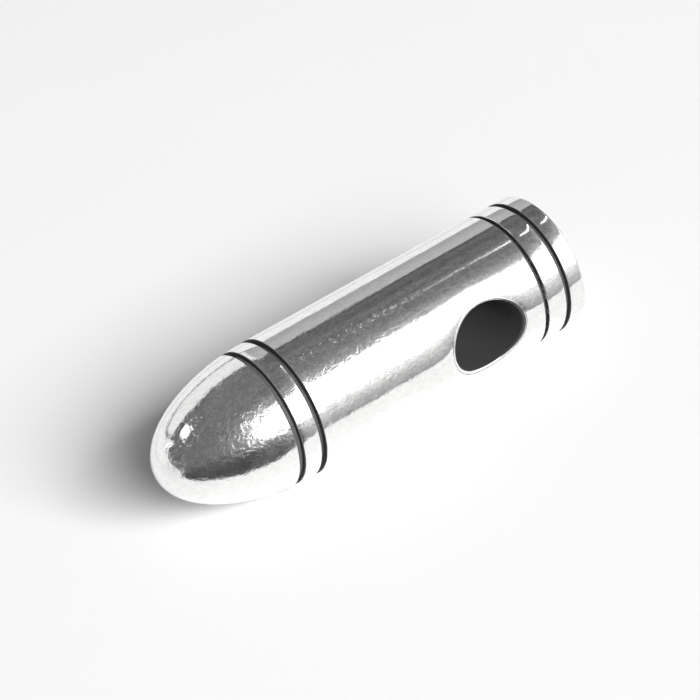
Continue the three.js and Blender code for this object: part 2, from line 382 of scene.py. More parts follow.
def place(piece, node, body, slot_name, material):
    """Puts a finished piece where its CAD node is, hangs it under its body, gives it its material and hides
    the CAD node. The slot name is not used.
    """
    piece.data.transform(TO_FRAME)
    piece.data.materials.clear()
    piece.data.materials.append(material)
    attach(piece, body)
    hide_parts(node)
    return piece


# ---- shader helpers


class Shader:
    """A node tree with short ways to add nodes. An input is a socket or a number."""

    def __init__(self, tree):
        self.tree = tree

    def add(self, kind, **settings):
        """A new node with some of its properties set."""
        node = self.tree.nodes.new(kind)
        for name, value in settings.items():
            setattr(node, name, value)
        return node

    def feed(self, socket, value):
        """Links a socket to another, or gives it a number."""
        if isinstance(value, bpy.types.NodeSocket):
            self.tree.links.new(value, socket)
        else:
            socket.default_value = value

    def math(self, operation, a, b=0.0):
        """The result of a sum on one or two values."""
        node = self.add("ShaderNodeMath", operation=operation)
        self.feed(node.inputs[0], a)
        self.feed(node.inputs[1], b)
        return node.outputs[0]

    def times(self, *values):
        """All the values multiplied together."""
        product = values[0]
        for value in values[1:]:
            product = self.math("MULTIPLY", product, value)
        return product

    def vector(self, operation, *values):
        """A node that works on vectors."""
        node = self.add("ShaderNodeVectorMath", operation=operation)
        for socket, value in zip(node.inputs, values):
            self.feed(socket, value)
        return node

    def dot(self, vector, direction):
        """How far a vector reaches in a fixed direction."""
        return self.vector("DOT_PRODUCT", vector, direction).outputs["Value"]

    def ramp(self, value, low, high, to_low=0.0, to_high=1.0):
        """A smooth step from to_low, where value is low, to to_high, where it is high."""
        node = self.add("ShaderNodeMapRange", interpolation_type="SMOOTHSTEP")
        self.feed(node.inputs["Value"], value)
        for name, number in zip(("From Min", "From Max", "To Min", "To Max"), (low, high, to_low, to_high)):
            self.feed(node.inputs[name], number)
        return node.outputs["Result"]

    def side(self, vector, direction, low, high, to_low=0.0, to_high=1.0):
        """A smooth step in how far a vector reaches in a direction."""
        return self.ramp(self.dot(vector, direction), low, high, to_low, to_high)

    def mix(self, share, a, b):
        """A number that goes from a to b as share goes from 0 to 1."""
        node = self.add("ShaderNodeMix", data_type="FLOAT")
        for socket, value in zip(node.inputs[:1] + node.inputs[2:4], (share, a, b)):
            self.feed(socket, value)
        return node.outputs[0]

    def mix_colour(self, share, a, b):
        """A colour that goes from a to b as share goes from 0 to 1."""
        node = self.add("ShaderNodeMix", data_type="RGBA")
        for socket, value in zip((node.inputs[0], *node.inputs[6:8]), (share, a, b)):
            self.feed(socket, value)
        return node.outputs[2]

    def noise(self, vector, scale, detail=2.0, roughness=0.5, stretch=(1, 1, 1), distortion=0.0):
        """Noise between 0 and 1 at a scale in features per unit of the vector, squeezed by stretch."""
        mapping = self.add("ShaderNodeMapping")
        self.feed(mapping.inputs["Vector"], vector)
        mapping.inputs["Scale"].default_value = stretch
        node = self.add("ShaderNodeTexNoise")
        self.tree.links.new(mapping.outputs[0], node.inputs["Vector"])
        names = ("Scale", "Detail", "Roughness", "Distortion")
        for name, value in zip(names, (scale, detail, roughness, distortion)):
            node.inputs[name].default_value = value
        return node.outputs["Fac"]


def start_material(name):
    """A material, its helper, its Principled shader, and places in millimetres that ride with the piece."""
    material = bpy.data.materials.new(name)
    material.use_nodes = True
    shader = Shader(material.node_tree)
    skin = material.node_tree.nodes["Principled BSDF"]
    where = shader.add("ShaderNodeTexCoord")
    scaled = shader.vector("SCALE", where.outputs["Object"])
    scaled.inputs["Scale"].default_value = 1 / MM
    return material, shader, skin, scaled.outputs[0]


def grey(shader, value, low, high, tint=(1.0, 1.0, 1.0)):
    """A colour that runs from one grey to another as value goes from 0 to 1, times a tint."""
    darker = (*[low * t for t in tint], 1)
    lighter = (*[high * t for t in tint], 1)
    return shader.mix_colour(value, darker, lighter)


def paint(shader, skin, colour, roughness):
    """Gives a shader its colour and roughness."""
    shader.feed(skin.inputs["Base Color"], colour)
    shader.feed(skin.inputs["Roughness"], roughness)


def bump(shader, skin, height, depth_mm, below=None):
    """Gives a shader a relief of this depth, on top of the relief below it if there is one."""
    node = shader.add("ShaderNodeBump")
    node.inputs["Strength"].default_value = 1.0
    node.inputs["Distance"].default_value = depth_mm * MM
    shader.feed(node.inputs["Height"], height)
    if below is not None:
        shader.feed(node.inputs["Normal"], below)
    shader.feed(skin.inputs["Normal"], node.outputs[0])
    return node.outputs[0]


# ---- materials

RIGHT, BEHIND, UP = (1, 0, 0), (0, 1, 0), (0, 0, 1)
SILVER_TINT = (1.0, 0.998, 0.99)
STEEL_TINT, BRASS_TINT = (1.0, 1.0, 1.01), (1.0, 0.8, 0.42)
SCUFFED = (0.73, 0.73, 0.725, 1)
OXIDE = (0.05, 0.05, 0.05, 1)


def between(shader, where, rear, front, at_rear, at_front):
    """A value that changes smoothly from one station to another."""
    base = BASE_X / MM
    return shader.side(where, RIGHT, base - rear, base - front, at_rear, at_front)


def above_axis(shader, where, low, high, at_low=0.0, at_high=1.0):
    """A value that changes smoothly between two heights above the capsule's axis."""
    axis = AXIS_Z / MM
    return shader.side(where, UP, axis + low, axis + high, at_low, at_high)


def silver_relief(shader, skin, where, wipes):
    """A slow ripple, an orange peel and wipe marks, each to its own depth in millimetres.

    The peel is on the front's upper half, and grows from the base to the nose.
    """
    ripple = shader.noise(where, 0.45, detail=2.0, roughness=0.45, stretch=(0.6, 1.0, 1.0))
    peel = shader.noise(where, 2.0, detail=3.0, roughness=0.6, stretch=(0.8, 1.0, 1.0), distortion=0.8)
    in_front = shader.side(where, BEHIND, 0.0, -3.0, 0.3, 1.0)
    on_barrel = between(shader, where, 12.0, 20.0, 0.14, 0.75)
    on_nose = between(shader, where, 29.0, 32.5, 0.0, 0.85)
    on_top = above_axis(shader, where, -0.5, 2.0, 0.25, 1.0)
    handled = shader.times(in_front, shader.math("ADD", on_barrel, on_nose), on_top)
    below = bump(shader, skin, ripple, 0.014)
    below = bump(shader, skin, shader.times(handled, peel), 0.034, below)
    bump(shader, skin, wipes, 0.0012, below)


def silver_colour(shader, where, wipes, patches):
    """Silver with slight tarnish in patches, and fine scuffs on the front's upper half."""
    shade = shader.times(shader.ramp(patches, 0.3, 0.7), shader.ramp(wipes, 0.35, 0.65, 0.5, 1.0))
    scuffs = shader.noise(where, 2.8, detail=4.0, roughness=0.7, stretch=(0.7, 1.3, 1.0), distortion=1.0)
    in_front = shader.side(where, BEHIND, -0.4, -1.6)
    on_top = above_axis(shader, where, 0.2, 1.4)
    scuffs = shader.times(shader.ramp(scuffs, 0.4, 0.62), in_front, on_top)
    return shader.mix_colour(scuffs, grey(shader, shade, 0.97, 0.86, SILVER_TINT), SCUFFED)


def silver_surface(shader, skin, where):
    """Hand-polished silver under a thin film of tarnish, with black oxide in and beside the black lines."""
    wipes = shader.noise(where, 2.2, detail=5.0, roughness=0.65, stretch=(0.35, 2.4, 2.4))
    patches = shader.noise(where, 1.3, detail=4.0, roughness=0.6, distortion=0.8)
    film = shader.noise(where, 2.4, detail=5.0, roughness=0.65, stretch=(0.8, 1.0, 1.4), distortion=1.2)
    silver_relief(shader, skin, where, wipes)
    bare = beside_lines(shader, where, patches)
    polished = silver_colour(shader, where, wipes, patches)
    sheen = shader.ramp(patches, 0.35, 0.75, 0.04, 0.11)
    paint(shader, skin, shader.mix_colour(bare, OXIDE, polished), shader.mix(bare, 0.55, sheen))
    shader.feed(skin.inputs["Metallic"], bare)
    shader.feed(skin.inputs["Coat Weight"], shader.times(bare, shader.ramp(film, 0.38, 0.66)))
    skin.inputs["Coat Roughness"].default_value = 0.4
    skin.inputs["Coat IOR"].default_value = 2.1


def beside_lines(shader, where, patches):
    """1 on bare silver and 0 in the black lines, whose oxide creeps a little over the edges beside them."""
    station = shader.math("SUBTRACT", BASE_X / MM, shader.dot(where, RIGHT))
    nearest = NOSE_TIP
    for line, spread in zip(LINES, LINE_SPREAD):
        away = shader.math("ABSOLUTE", shader.math("SUBTRACT", station, line))
        nearest = shader.math("MINIMUM", nearest, shader.math("SUBTRACT", away, spread))
    ragged = shader.math("ADD", nearest, shader.ramp(patches, 0.3, 0.7, -0.012, 0.012))
    return shader.ramp(ragged, LINE_HALF_WIDTH, LINE_HALF_WIDTH + 0.025)


def make_silver():
    """The polished outside."""
    material, shader, skin, where = start_material("polished_silver")
    silver_surface(shader, skin, where)
    return material


def make_black():
    """Dull black oxide, a little worn."""
    material, shader, skin, where = start_material("black_oxide")
    grain = shader.noise(where, 5.0, detail=5.0, roughness=0.65)
    colour = grey(shader, shader.ramp(grain, 0.3, 0.75), 0.05, 0.09)
    paint(shader, skin, colour, shader.ramp(grain, 0.3, 0.7, 0.45, 0.65))
    bump(shader, skin, grain, 0.006)
    return material


def from_bore(shader, where):
    """A place's vector from the cord tube's middle, scaled so that it is 1 long on the bore's wall."""
    offset = shader.vector("SUBTRACT", where, BORE_MIDDLE / MM)
    return shader.vector("MULTIPLY", offset.outputs[0], (1 / CORD[0], 0, 1 / CORD[1])).outputs[0]


def make_bush_silver_and_shade():
    """Silver on the rounded lips of the cord tube, and near-black painted shade in its bore, standing in
    for the deep bore's dark inside.
    """
    material, shader, skin, where = start_material("cord_tube_silver_and_painted_shade")
    silver_surface(shader, skin, where)
    outwards = from_bore(shader, where)
    length = shader.vector("LENGTH", outwards)
    grain = shader.noise(where, 4.0, detail=4.0, roughness=0.6)
    ragged = shader.math("ADD", length.outputs["Value"], shader.ramp(grain, 0.3, 0.7, -0.004, 0.004))
    # the painted shade reaches further out over the lip on the base's side
    shade_edge = shader.side(outwards, RIGHT, 0.2, 1.0, 1.006, 1.055)
    bright = shader.ramp(shader.math("SUBTRACT", ragged, shade_edge), 0.0, 0.02)
    blend = shader.add("ShaderNodeMixShader")
    shader.feed(blend.inputs[0], bright)
    # the near-black layer is painted shade for the bore's dark inside
    shader.feed(blend.inputs[1], make_painted_shade_layer(shader, grain))
    shader.feed(blend.inputs[2], skin.outputs[0])
    output = next(n for n in shader.tree.nodes if n.type == "OUTPUT_MATERIAL")
    shader.feed(output.inputs["Surface"], blend.outputs[0])
    return material


def make_painted_shade_layer(shader, grain):
    """A second Principled shader for the near-black painted shade of the bore, in a layered material."""
    layer = shader.add("ShaderNodeBsdfPrincipled")
    paint(shader, layer, grey(shader, grain, 0.032, 0.05), shader.ramp(grain, 0.3, 0.7, 0.5, 0.7))
    bump(shader, layer, grain, 0.006)
    return layer.outputs[0]


def make_turned_metal(name, colour, low, high, roughness):
    """Metal with fine tool marks round the axis and slight stains."""
    material, shader, skin, where = start_material(name)
    rings = shader.noise(where, 9.0, detail=3.0, roughness=0.6, stretch=(1.0, 0.04, 0.04))
    stains = shader.noise(where, 0.7, detail=4.0, roughness=0.6)
    mixed = shader.math("ADD", shader.times(rings, 0.4), shader.times(stains, 0.6))
    shade = shader.ramp(mixed, 0.3, 0.7)
    sheen = shader.ramp(stains, 0.3, 0.7, roughness * 0.8, roughness * 1.3)
    paint(shader, skin, grey(shader, shade, low, high, colour), sheen)
    skin.inputs["Metallic"].default_value = 1.0
    bump(shader, skin, rings, 0.004)
    return material


def make_rubber():
    """Dark rubber with a fine grain."""
    material, shader, skin, where = start_material("seal_rubber")
    grain = shader.noise(where, 6.0, detail=4.0, roughness=0.6)
    paint(shader, skin, grey(shader, grain, 0.012, 0.03), shader.ramp(grain, 0.3, 0.7, 0.4, 0.6))
    bump(shader, skin, grain, 0.004)
    return material


def make_paper():
    """Smooth white paper with a faint tooth."""
    material, shader, skin, where = start_material("white_paper")
    tooth = shader.noise(where, 3.0, detail=4.0, roughness=0.6)
    cloud = shader.noise(where, 0.02, detail=2.0, roughness=0.5)
    shade = shader.math("ADD", shader.times(tooth, 0.4), shader.times(cloud, 0.6))
    paint(shader, skin, grey(shader, shade, 0.80, 0.84), shader.ramp(tooth, 0.3, 0.7, 0.6, 0.75))
    skin.inputs["Specular IOR Level"].default_value = 0.2
    bump(shader, skin, tooth, 0.004)
    return material


silver = make_silver()
black = make_black()
bush_silver_and_shade = make_bush_silver_and_shade()
satin_steel = make_turned_metal("satin_steel", STEEL_TINT, 0.55, 0.68, 0.3)
spring_steel = make_turned_metal("spring_steel", STEEL_TINT, 0.45, 0.6, 0.24)
brass = make_turned_metal("turned_brass", BRASS_TINT, 0.68, 0.82, 0.2)
rubber = make_rubber()

# ---- outside pieces


def pin_way(rear, front, low):
    """A block in the shape of the slot that the lock pins slide in."""
    return box_cutter(rear, front, low, KEY_TOP, KEY_HALF_WIDTH)


def key_tab(rear, front):
    """The tab that stops a washer or spring from turning."""
    return box_cutter(rear, front, -RING_BORE - 0.15, -TAB_REACH, TAB_HALF_WIDTH)


def make_base_cap():
    """The end cap: a shallow cup over the sleeve's end, with a spigot inside the sleeve."""
    seat = SLEEVE[0] - 0.05
    spigot = SLEEVE_INNER - 0.04
    spigot_front = ends("base_cap")[1]
    corners = [
        (0, 0),
        (0, RING_RADIUS, BASE_EDGE),
        *[(CAP_FRONT * k / BAND_STEPS, RING_RADIUS) for k in range(BAND_STEPS // 2, BAND_STEPS)],
        (CAP_FRONT, RING_RADIUS, EDGE),
        (CAP_FRONT, RING_BORE, SMALL_EDGE),
        (seat, RING_BORE),
        (seat, spigot),
        (spigot_front, spigot, SMALL_EDGE),
        (spigot_front, 0),
    ]
    section = outline(corners, closed=False, steps=10)
    section = crown(section, CAP_FRONT - 2 * CAP_BULGE_REACH, CAP_FRONT, CAP_BULGE, RING_BORE + 0.1)
    piece = revolve("silver_base_cap", section[0], closed=False)
    return polish_normals(piece, section, closed=False)


def make_ring(name, span):
    """A combination ring. Its web has a gate at the top that lets a lock pin through."""
    rear, front = span
    corners = [
        (rear, KEY_TOP, SMALL_EDGE),
        (rear, RING_RADIUS, EDGE),
        *[(rear + (front - rear) * k / BAND_STEPS, RING_RADIUS) for k in range(1, BAND_STEPS)],
        (front, RING_RADIUS, EDGE),
        (front, RING_BORE, SMALL_EDGE),
        (front - RING_WEB, RING_BORE, 0.03),
        (front - RING_WEB, KEY_TOP),
    ]
    section = outline(corners, steps=8)
    section = crown(section, rear, front, RING_BULGE, KEY_TOP + 0.1)
    piece = revolve(name, section[0])
    carve(piece, pin_way(front - 2 * RING_WEB, front + 1, SLEEVE_INNER))
    return polish_normals(piece, section)


def make_barrel():
    """The barrel, worn down round its cord hole, with a pocket for a spring at each end."""
    rear, front = BARREL
    corners = [
        (rear + SPRING_POCKET, RING_BORE),
        (rear + SPRING_POCKET, KEY_TOP),
        (rear, KEY_TOP, SMALL_EDGE),
        (rear, BODY_RADIUS, EDGE),
        *[(CORD_STATION + DISH_STEP * k, BODY_RADIUS) for k in range(*DISH_RINGS)],
        (front, BODY_RADIUS, EDGE),
        (front, KEY_TOP, SMALL_EDGE),
        (front - SPRING_POCKET, KEY_TOP),
        (front - SPRING_POCKET, RING_BORE),
    ]
    section = outline(corners, steps=8)
    piece = revolve("silver_barrel", section[0])
    for vertex in piece.data.vertices:
        x, y, z = vertex.co
        radius = math.hypot(y, z)
        if radius > BODY_RADIUS - 0.01:
            vertex.co = (x, *(Vector((y, z)) * (1 - float(dish(x, z)) / radius)))
    carve(piece, pin_way(rear - 1, front + 1, SLEEVE_INNER))
    carve(piece, oval_rod(BUSH_HOLE))
    return polish_normals(piece, section, rods=[(CORD_STATION, BUSH_HOLE, "Y")], dished=True)


def make_cord_bush():
    """The oval cord tube. Its lips are rounded into the hole and follow the outside of the barrel."""
    sides = INNER_SIDES
    steps, rim = 16, 0.03
    end = BODY_RADIUS - DISH_DEPTH - 0.004
    lip = [(BUSH[0], end - rim), (BUSH[0] - 0.01, end - 0.007), (BUSH[0] - rim, end)]
    for k in range(1, steps + 1):
        angle = math.radians(90 * k / steps)
        flare = (BUSH_WALL - rim) * (1 - math.sin(angle))
        lip.append((CORD[0] + flare, end - LIP_DEPTH * (1 - math.cos(angle))))
    bore = [(CORD[0], end * share) for share in (0.6, 0.0, -0.6)]
    loop = lip + bore + [(reach, -along) for reach, along in reversed(lip)]
    vertices = []
    for reach, along in loop:
        half = grown(CORD, reach - CORD[0])
        for k in range(sides):
            angle = 2 * math.pi * k / sides
            x, z = half[0] * math.cos(angle), half[1] * math.sin(angle)
            drop = end - math.sqrt(end**2 - z * z)
            vertices.append((x - CORD_STATION, along * (1 - drop / end), z))
    faces = []
    for i in range(len(loop)):
        low, high = i * sides, (i + 1) % len(loop) * sides
        for k in range(sides):
            m = (k + 1) % sides
            faces.append((low + k, low + m, high + m, high + k))
    return soft_shading(new_object("silver_cord_tube", vertices, faces), 40)


def make_washer(node, notched):
    """A washer whose edge is a black line. Its tab keys it to the sleeve, and its notch passes the pins."""
    rear, front = ends(node)
    outer = BODY_RADIUS - LINE_DEPTH
    corners = [(rear, RING_BORE), (rear, outer, 0.06), (front, outer, 0.06), (front, RING_BORE)]
    section = outline(corners, steps=4)
    piece = revolve(f"black_{node}", section[0], sides=INNER_SIDES)
    carve(piece, key_tab(rear, front), "UNION")
    if notched:
        carve(piece, pin_way(rear - 1, front + 1, SLEEVE_INNER))
    return polish_normals(piece, section)


def make_nose():
    """The nose, hollow at its rear for the core's end and the sleeve's, with a blind hole for the screw."""
    screw_end = ends("nose_screw")[1] + 0.3
    hole = SCREW_SHANK + FIT_GAP
    socket, socket_radius = CORE[1] + FIT_GAP, CORE_OUTER + FIT_GAP
    step = SLEEVE[1] + 0.2
    clip_room = CLIP_RADII[1] + 0.1
    reach = NOSE_TIP - BARREL[1]
    first = math.acos((NOSE_REAR + 0.5 - BARREL[1]) / reach)
    curve = []
    count = 72
    for k in range(count):
        angle = first * (1 - k / count)
        curve.append((BARREL[1] + reach * math.cos(angle), BODY_RADIUS * math.sin(angle)))
    corners = [
        (screw_end, 0),
        (screw_end, hole),
        (socket, hole),
        (socket, socket_radius),
        (step, socket_radius, SMALL_EDGE),
        (step, clip_room),
        (NOSE_REAR, clip_room, SMALL_EDGE),
        (NOSE_REAR, outside_radius(NOSE_REAR), EDGE),
        *curve,
        (NOSE_TIP, 0),
    ]
    section = outline(corners, closed=False, steps=8)
    # the first point is inside the nose, where the hole for the screw ends, and it faces the base
    piece = revolve("silver_nose", section[0], closed=False)
    return polish_normals(piece, section, closed=False)


# ---- the works


def make_sleeve():
    """The sleeve that carries the rings, slotted for the pins and tabs, with a groove for the clip."""
    rear, front = SLEEVE
    clip_rear, clip_front = ends("retaining_clip")
    floor = CLIP_RADII[0] - FIT_GAP
    corners = [
        (rear, SLEEVE_INNER, 0.03),
        (rear, SLEEVE_OUTER, SMALL_EDGE),
        (clip_rear - FIT_GAP, SLEEVE_OUTER),
        (clip_rear - FIT_GAP, floor),
        (clip_front + FIT_GAP, floor),
        (clip_front + FIT_GAP, SLEEVE_OUTER),
        (front, SLEEVE_OUTER, 0.08),
        (front, SLEEVE_INNER, 0.08),
    ]
    section = outline(corners, steps=4)
    piece = revolve("steel_sleeve", section[0], sides=INNER_SIDES)
    carve(piece, pin_way(PIN_STATIONS[0] - PIN_RADIUS - 0.3, front + 1, CORE_INNER))
    gap = 0.05
    carve(piece, box_cutter(rear - 1, front + 1, -BODY_RADIUS, -TAB_REACH + gap, TAB_HALF_WIDTH + gap))
    carve(piece, oval_rod(BUSH_HOLE))
    return polish_normals(piece, section, rods=[(CORD_STATION, BUSH_HOLE, "Y")])


def make_core():
    """The core: a tube with the chamber in its front, forked at its rear, with a groove for the seal."""
    rear, front = CORE
    groove = SEAL_SECTION + 0.09
    groove_floor = SEAL_RADIUS - SEAL_SECTION - 0.05
    screw_hole = SCREW_SHANK + FIT_GAP
    pin_hole = PIN_RADIUS + FIT_GAP
    corners = [
        (rear, CORE_INNER, SMALL_EDGE),
        (rear, CORE_OUTER, 0.12),
        (SEAL_STATION - groove, CORE_OUTER, 0.04),
        (SEAL_STATION - groove, groove_floor),
        (SEAL_STATION + groove, groove_floor),
        (SEAL_STATION + groove, CORE_OUTER, 0.04),
        (front, CORE_OUTER, 0.04),
        (front, screw_hole),
        (front - CORE_END_WALL, screw_hole),
        (front - CORE_END_WALL, CORE_INNER),
    ]
    section = outline(corners, steps=5)
    piece = revolve("brass_core", section[0], sides=INNER_SIDES)
    carve(piece, box_cutter(rear - 1, CORD_STATION, -FORK[1], FORK[1], BODY_RADIUS))
    carve(piece, oval_rod(FORK))
    rods = [(CORD_STATION, FORK, "Y")]
    for station in PIN_STATIONS:
        carve(piece, rod_mesh("cutter", station, pin_hole, 0, BODY_RADIUS, "Z", sides=48))
        rods.append((station, (pin_hole, pin_hole), "Z"))
    return polish_normals(piece, section, rods=rods)


def make_pin(name, station):
    """A lock pin, standing in the core's wall."""
    pin = rod_mesh(name, station, PIN_RADIUS, PIN_BOTTOM, PIN_TOP, "Z", rounding=0.1, sides=64)
    return soft_shading(pin)


def make_clip():
    """The split clip that holds the front ring's stack on the sleeve."""
    rear, front = ends("retaining_clip")
    inner, outer = CLIP_RADII
    corners = [(rear, inner, 0.04), (rear, outer, 0.04), (front, outer, 0.04), (front, inner, 0.04)]
    section = outline(corners, steps=3)
    piece = revolve("steel_clip", section[0], sides=INNER_SIDES)
    carve(piece, box_cutter(rear - 1, front + 1, 0, BODY_RADIUS, SPLIT_HALF_WIDTH))
    return polish_normals(piece, section)


def make_wave_spring(node):
    """Spring strip in four waves, with a gap at the top and a tab at the bottom."""
    middle = sum(ends(node)) / 2
    half_sheet, wave, waves, edge = 0.06, 0.1, 4, 0.02
    inner, outer = RING_BORE + 0.04, KEY_TOP - 0.06
    rear, front = middle - half_sheet, middle + half_sheet
    corners = [(rear, inner, edge), (rear, outer, edge), (front, outer, edge), (front, inner, edge)]
    points, _ = outline(corners, steps=2)
    piece = revolve("steel_" + node.replace("_wave", ""), points, sides=INNER_SIDES)
    for vertex in piece.data.vertices:
        around = math.atan2(vertex.co.y, vertex.co.z)
        vertex.co.x -= wave * math.cos(waves * around)
    crest = middle + wave
    carve(piece, key_tab(crest - half_sheet, crest + half_sheet), "UNION")
    carve(piece, box_cutter(middle - 1, middle + 1, 0, BODY_RADIUS, SPLIT_HALF_WIDTH))
    return soft_shading(piece)


def make_seal():
    """The O-ring."""
    steps = 32
    points = []
    for k in range(steps):
        angle = math.pi - 2 * math.pi * k / steps
        station = SEAL_STATION + SEAL_SECTION * math.cos(angle)
        points.append((station, SEAL_RADIUS + SEAL_SECTION * math.sin(angle)))
    return soft_shading(revolve("rubber_seal", points, sides=128))


def make_screw():
    """The slotted screw that joins the nose to the core."""
    head, tip = ends("nose_screw")
    seat = CORE[1] - CORE_END_WALL - FIT_GAP
    slot = 0.25
    corners = [
        (head, 0),
        (head, SCREW_HEAD, 0.25),
        (seat, SCREW_HEAD, 0.04),
        (seat, SCREW_SHANK),
        (tip, SCREW_SHANK, 0.2),
        (tip, 0),
    ]
    section = outline(corners, closed=False, steps=6)
    piece = revolve("steel_screw", section[0], closed=False, sides=96)
    carve(piece, box_cutter(head - 1, head + slot, -BODY_RADIUS, BODY_RADIUS, slot))
    return polish_normals(piece, section, closed=False)


# ---- the capsule

SILVER = ("polished_silver", silver)
BLACK = ("blackened_silver", black)
SPRING = ("spring_steel", spring_steel)
STEEL = ("satin_steel", satin_steel)

place(make_base_cap(), "base_cap", "barrel", *SILVER)
place(make_washer("rear_outer_washer", notched=False), "rear_outer_washer", "barrel", *BLACK)
place(make_ring("silver_rear_ring", REAR_RING), "rear_ring", "rear_ring_body", *SILVER)
place(make_washer("rear_inner_washer", notched=True), "rear_inner_washer", "barrel", *BLACK)
place(make_wave_spring("rear_wave_spring"), "rear_wave_spring", "barrel", *SPRING)
place(make_barrel(), "barrel_shell", "barrel", *SILVER)
# the cord tube's bore is painted near black: painted shade for its deep, dark inside
place(make_cord_bush(), "cord_bush", "barrel", "blackened_bore", bush_silver_and_shade)
place(make_wave_spring("front_wave_spring"), "front_wave_spring", "barrel", *SPRING)
place(make_washer("front_inner_washer", notched=True), "front_inner_washer", "barrel", *BLACK)
place(make_ring("silver_front_ring", FRONT_RING), "front_ring", "front_ring_body", *SILVER)
place(make_washer("front_outer_washer", notched=True), "front_outer_washer", "barrel", *BLACK)
place(make_clip(), "retaining_clip", "barrel", *SPRING)
place(make_sleeve(), "inner_sleeve", "barrel", *STEEL)
place(make_core(), "core_tube", "nose_and_core", "brass", brass)
place(make_pin("steel_rear_pin", PIN_STATIONS[0]), "rear_lock_pin", "nose_and_core", *STEEL)
place(make_pin("steel_front_pin", PIN_STATIONS[1]), "front_lock_pin", "nose_and_core", *STEEL)
place(make_seal(), "core_seal", "nose_and_core", "seal_rubber", rubber)
place(make_screw(), "nose_screw", "nose_and_core", *STEEL)
place(make_nose(), "nose_cap", "nose_and_core", *SILVER)

# ---- studio


def towards(azimuth, elevation):
    """A direction. Azimuth 0 is towards -Y and 90 towards +X; both angles are in degrees."""
    a, e = math.radians(azimuth), math.radians(elevation)
    return Vector((math.sin(a) * math.cos(e), -math.cos(a) * math.cos(e), math.sin(e)))


AMBIENT = 0.18  # what the room gives a matt surface from every side
BACKDROP_SIDE = (-0.3775, -0.418, 0.8265)  # points away from the slanting left end of the backdrop
BOARD_FOOT, BOARD_TOP, BOARD_TILT = 0.674, 1.058, 0.8
# left and right azimuth, low and high elevation, and how soft the left, right and level edges are
HALO = (-16, 100, -2, 53, 0.22, 0.05, 0.1)
SILL = (12, 100, -60, 6, 0.12, 0.1, 0.07)
WINDOW = (-3, 78, 5, 41.8, 0.13, 0.05, 0.045)
WINDOW_STRENGTH = 2.6
# a long lamp's two ends as azimuth and elevation, its half width in degrees, its softness and its strength
LAMPS = (
    ((-126, 51.5), (-97, 51.5), 4.0, 0.25, 4.0),
    ((-129, 28.5), (-118.5, 36), 1.9, 0.4, 3.0),
    ((110, 42), (83, 61.5), 1.3, 0.4, 2.8),
)


def make_floor():
    """White paper. Reflections don't show its near part, but the room beyond the table instead."""
    paper = make_paper()
    far = 6000
    near_edge = [(22, -19), (-6, -18.3), (-11, -13.2), (-30, -8.2), (-107, -12)]
    edge = [(far, -0.1 * far), *near_edge, (-far, -0.27 * far)]
    back = [*edge, (-far, far), (far, far)]
    front = [*reversed(edge), (far, -far), (-far, -far)]
    for name, corners, reflected in (("paper_back", back, True), ("paper_front", front, False)):
        mesh = bpy.data.meshes.new(name)
        facing_up = tuple(reversed(range(len(corners))))
        mesh.from_pydata([(x * MM, y * MM, 0) for x, y in corners], [], [facing_up])
        sheet = bpy.data.objects.new(name, mesh)
        scene.collection.objects.link(sheet)
        mesh.materials.append(paper)
        sheet.visible_glossy = reflected


def sideways(azimuth):
    """The level direction that a growing azimuth turns towards."""
    a = math.radians(azimuth)
    return (math.cos(a), math.sin(a), 0)


def sector(shader, view, left, right, low, high, soft_left, soft_right, soft_height):
    """How much a direction lies between two azimuths and two elevations."""
    bottom, top = math.sin(math.radians(low)), math.sin(math.radians(high))
    return shader.times(
        shader.side(view, sideways(left), -soft_left, soft_left),
        shader.side(view, sideways(right), soft_right, -soft_right),
        shader.side(view, UP, bottom - soft_height, bottom + soft_height),
        shader.side(view, UP, top + soft_height, top - soft_height),
    )


def lamp_spot(shader, view, start, end, half_width, soft):
    """How much a direction lies on a long oval lamp."""
    first, last = towards(*start), towards(*end)
    centre = (first + last).normalized()
    along = (last - first).normalized()
    across = centre.cross(along)
    half_length = (last - first).length / 2
    long_way = shader.math("DIVIDE", shader.dot(view, along), half_length)
    short_way = shader.math("DIVIDE", shader.dot(view, across), math.sin(math.radians(half_width)))
    squares = shader.math("ADD", shader.math("POWER", long_way, 2), shader.math("POWER", short_way, 2))
    front = shader.math("GREATER_THAN", shader.dot(view, centre), 0.5)
    return shader.times(shader.ramp(squares, 1 + soft, 1 - soft), front)


def wavering(shader, straight):
    """Directions bent a little by noise, so that the room's edges aren't quite straight."""
    waver = shader.add("ShaderNodeTexNoise")
    shader.feed(waver.inputs["Vector"], straight)
    waver.inputs["Scale"].default_value = 5.0
    waver.inputs["Detail"].default_value = 4.0
    centred = shader.vector("SUBTRACT", waver.outputs["Color"], (0.5, 0.5, 0.5)).outputs[0]
    return shader.vector("MULTIPLY_ADD", centred, (0.2, 0.2, 0.12), straight).outputs[0]


def make_room():
    """What the polish reflects: a dim room, a window, a white backdrop with a board, and lamps."""
    world = bpy.data.worlds.new("studio")
    scene.world = world
    world.use_nodes = True
    shader = Shader(world.node_tree)
    straight = shader.add("ShaderNodeTexCoord").outputs["Generated"]
    view = wavering(shader, straight)
    light = dim_room(shader, straight, view)
    light = add_window(shader, light, view)
    light = add_backdrop(shader, light, straight)
    light = add_board(shader, light, straight)
    for start, end, half_width, soft, strength in LAMPS:
        light = shader.mix(lamp_spot(shader, straight, start, end, half_width, soft), light, strength)
    path = shader.add("ShaderNodeLightPath")
    seen = shader.mix(path.outputs["Is Camera Ray"], AMBIENT, 0.9)
    background = world.node_tree.nodes["Background"]
    shader.feed(background.inputs["Color"], shader.mix(path.outputs["Is Glossy Ray"], seen, light))
    background.inputs["Strength"].default_value = 1.0


